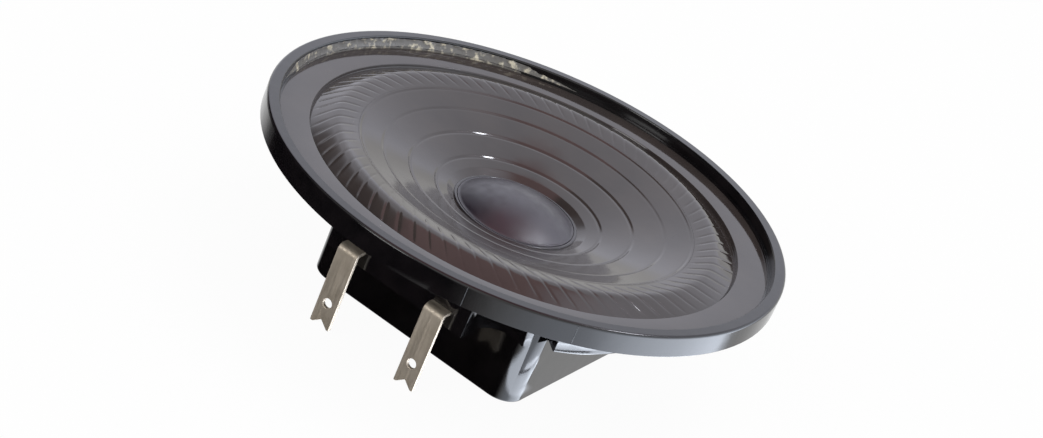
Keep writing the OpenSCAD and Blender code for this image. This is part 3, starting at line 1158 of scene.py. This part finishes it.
@dataclass(frozen=True)
class Card:
    """A card that lies level under the flange with soft edges, and of which only reflections are seen.

    One of no strength is a flag, and keeps light out of a reflection.
    """

    name: str
    span_x: Pair
    span_y: Pair
    height: float
    tone: str
    strength: float
    feather: Pair

    def build(self) -> Object:
        """Lays the card.

        Returns:
            The card's object, which belongs to the stage.
        """
        card = level_sheet(self.name, self.span_x, self.span_y, self.height, self.material())
        card.visible_camera = False
        card.visible_diffuse = False
        card.visible_shadow = False
        card.visible_transmission = False
        return card

    def material(self) -> bpy.types.Material:
        """A glow that fades out at every edge.

        Returns:
            The card's material.
        """
        material = bpy.data.materials.new(self.name)
        tree = fresh_tree(material)
        place = add_node(tree, "ShaderNodeTexCoord").outputs["Generated"]
        parts = add_node(tree, "ShaderNodeSeparateXYZ", {"Vector": place}).outputs
        fades = []
        for axis, (low, high), feather in zip("XY", (self.span_x, self.span_y), self.feather):
            inside = add_node(tree, "ShaderNodeMath", {0: parts[axis], 1: 0.5}, operation="PINGPONG")
            fade = add_node(
                tree, "ShaderNodeMapRange", {"Value": inside.outputs[0], "From Max": feather / (high - low)},
                interpolation_type="SMOOTHSTEP",
            )
            fades.append(fade.outputs["Result"])
        share = add_node(tree, "ShaderNodeMath", dict(enumerate(fades)), operation="MULTIPLY").outputs[0]
        clear = add_node(tree, "ShaderNodeBsdfTransparent").outputs["BSDF"]
        glow = add_node(tree, "ShaderNodeEmission", {"Color": linear(self.tone), "Strength": self.strength})
        mix = add_node(tree, "ShaderNodeMixShader", {0: share, 1: clear, 2: glow.outputs["Emission"]})
        add_node(tree, "ShaderNodeOutputMaterial", {"Surface": mix.outputs["Shader"]})
        return material


@dataclass
class Studio:
    """Camera, floor, world and lamps. The camera stands where the photograph was taken from."""

    azimuth: float = 22.2726
    elevation: float = 25.53
    roll: float = 23.859
    distance: float = 285.54
    aside: float = 3.727
    above: float = -6.036
    rim_z: float = 2.7
    image_width: float = 1043.0
    image_height: float = 438.0
    focal_pixels: float = 2393.36
    centre_pixel: Point = (563.707, 223.187)
    sensor: float = 36.0
    nearest: float = 5.0
    floor_z: float = -16.7
    floor_span: Pair = (-3000.0, 3000.0)
    floor_tone: str = "#f4f4f4"
    floor_glow: float = 0.955
    sky_strength: float = 0.7

    lamps: tuple[Softbox, ...] = (
        Softbox("softbox_above", (60.0, 120.0, 420.0), 260.0, 2.2),
        Softbox("softbox_front", (-130.0, -420.0, 110.0), 160.0, 5.0, mirrored=True),
    )
    # Each patch covers what it overlaps of those before it: the film mirrors the ones above the horizon,
    # and the walls of the flange and the housing mirror those below it. The last one is the bright lamp.
    sky: tuple[SkyPatch, ...] = (
        SkyPatch(95.0, 30.0, 46.0, 58.0, "#f1f3ff", 1.42),
        SkyPatch(0.0, 90.0, 28.0, 33.0, "#ffc4ca", 0.76),
        SkyPatch(170.0, 26.0, 18.0, 26.0, "#8a7f86", 0.06),
        SkyPatch(44.0, 60.0, 4.0, 22.0, "#f4f2ff", 1.9),
        SkyPatch(-135.0, -22.0, 50.0, 72.0, "#16060a", 0.2),
        SkyPatch(18.0, -25.0, 34.0, 76.0, "#eaf2ff", 3.0),
        SkyPatch(24.0, -25.0, 8.0, 42.0, "#eaf2ff", 7.0),
        SkyPatch(98.0, -25.0, 38.0, 44.0, "#ffffff", 1.0),
        SkyPatch(176.0, 49.0, 14.0, 21.0, "#5a2638", 0.1),
        SkyPatch(44.0, 60.4, 3.6, 4.8, "#f4f6ff", 40.0),
    )
    # The glows that the housing's corner and the flange mirror, and the dark between them
    cards: tuple[Card, ...] = (
        Card("card_corner", (16.0, 31.0), (-26.0, -8.0), -16.6, "#eaf2ff", 10.0, (1.6, 4.0)),
        Card("card_corner_far", (19.5, 30.5), (-12.5, -2.0), -16.6, "#eaf2ff", 10.0, (1.2, 2.5)),
        Card("flag_latch", (30.0, 34.5), (-30.0, -4.0), -16.5, "#000000", 0.0, (1.0, 3.0)),
        Card("flag_pocket", (10.3, 14.0), (-23.0, -15.7), -8.6, "#000000", 0.0, (0.1, 0.1)),
        Card("card_crescent", (34.0, 50.0), (-17.0, 8.0), -16.6, "#eaf2ff", 13.0, (1.0, 3.0)),
    )

    def camera(self) -> Object:
        """Sets up the camera.

        Returns:
            The camera's object.
        """
        tilt, roll = math.radians(self.elevation), math.radians(self.roll)
        back = Vector((0.0, -math.cos(tilt), math.sin(tilt)))
        right = Vector((1.0, 0.0, 0.0))
        up = back.cross(right)
        across = right * math.cos(roll) + up * math.sin(roll)
        upward = up * math.cos(roll) - right * math.sin(roll)
        place = back * self.distance + across * self.aside + upward * self.above
        turn = Matrix.Rotation(math.radians(self.azimuth), 3, "Z")
        axes = turn @ Matrix((across, upward, back)).transposed()
        view = bpy.data.cameras.new("camera")
        view.sensor_width = self.sensor
        view.lens = self.focal_pixels / self.image_width * self.sensor
        view.shift_x = (self.image_width / 2 - self.centre_pixel[0]) / self.image_width
        view.shift_y = (self.centre_pixel[1] - self.image_height / 2) / self.image_width
        view.clip_start = self.nearest * MM
        camera = add_object("camera", view)
        camera.matrix_world = Matrix.Translation((turn @ place + AXIS * self.rim_z) * MM) @ axes.to_4x4()
        bpy.context.scene.camera = camera
        return camera

    def seen_rays(self, tree: Tree) -> Socket:
        """A share that is 1 where the background is looked at, straight or in a reflection.

        Args:
            tree: The node tree that needs it.

        Returns:
            The socket with the share.
        """
        rays = add_node(tree, "ShaderNodeLightPath").outputs
        seen = rays["Is Camera Ray"]
        for kind in ("Is Glossy Ray", "Is Transmission Ray"):
            seen = add_node(tree, "ShaderNodeMath", {0: seen, 1: rays[kind]}, operation="MAXIMUM").outputs[0]
        return seen

    def world(self) -> bpy.types.World:
        """White where it is looked at, a little dimmer as a light, and a sky of patches in reflections.

        Returns:
            The scene's world.
        """
        world = bpy.data.worlds.new("studio")
        tree = fresh_tree(world)
        direction = add_node(tree, "ShaderNodeTexCoord").outputs["Generated"]
        sky = WHITE
        for patch in self.sky:
            sky = patch.over(tree, direction, sky)
        light, seen, mirrored = (
            add_node(tree, "ShaderNodeBackground", {"Color": tone, "Strength": power}).outputs["Background"]
            for tone, power in ((WHITE, self.sky_strength), (WHITE, 1.0), (sky, 1.0))
        )
        glossy = add_node(tree, "ShaderNodeLightPath").outputs["Is Glossy Ray"]
        plain = add_node(tree, "ShaderNodeMixShader", {0: self.seen_rays(tree), 1: light, 2: seen})
        mix = add_node(tree, "ShaderNodeMixShader", {0: glossy, 1: plain.outputs["Shader"], 2: mirrored})
        add_node(tree, "ShaderNodeOutputWorld", {"Surface": mix.outputs["Shader"]})
        bpy.context.scene.world = world
        return world

    def floor(self) -> Object:
        """A plain pale floor that keeps a soft shadow.

        Returns:
            The floor's object, which belongs to the stage.
        """
        material = bpy.data.materials.new("floor_paper_white")
        tree = fresh_tree(material)
        paper = add_node(tree, "ShaderNodeBsdfDiffuse", {"Color": linear(self.floor_tone)}).outputs["BSDF"]
        glow = add_node(tree, "ShaderNodeEmission", {"Color": WHITE, "Strength": 1.0}).outputs["Emission"]
        seen = {0: self.seen_rays(tree), 1: self.floor_glow}
        share = add_node(tree, "ShaderNodeMath", seen, operation="MULTIPLY").outputs[0]
        mix = add_node(tree, "ShaderNodeMixShader", {0: share, 1: paper, 2: glow})
        add_node(tree, "ShaderNodeOutputMaterial", {"Surface": mix.outputs["Shader"]})
        floor = level_sheet("floor", self.floor_span, self.floor_span, self.floor_z, material)
        floor.visible_glossy = False
        return floor

    def build(self) -> list[Object]:
        """Sets up the whole studio.

        Returns:
            Camera, floor, lamps and cards.
        """
        bpy.context.scene.view_settings.view_transform = "Standard"
        self.world()
        return [self.camera(), self.floor(), *(made.build() for made in (*self.lamps, *self.cards))]


def main() -> None:
    """Builds the studio and the driver's pieces in order, and reports each."""
    logging.basicConfig(level=logging.INFO, format="%(name)s: %(message)s")
    materials = Materials({})
    assemblies = (
        Studio(), Mouldings(materials), CementSmear(materials), SolderTags(materials), Diaphragm(materials),
        Surround(materials), Leads(materials), InnerParts(materials),
    )
    for assembly in assemblies:
        for piece in assembly.build():
            LOG.info("%s built %s", type(assembly).__name__, piece.name)


if __name__ == "__main__":
    main()
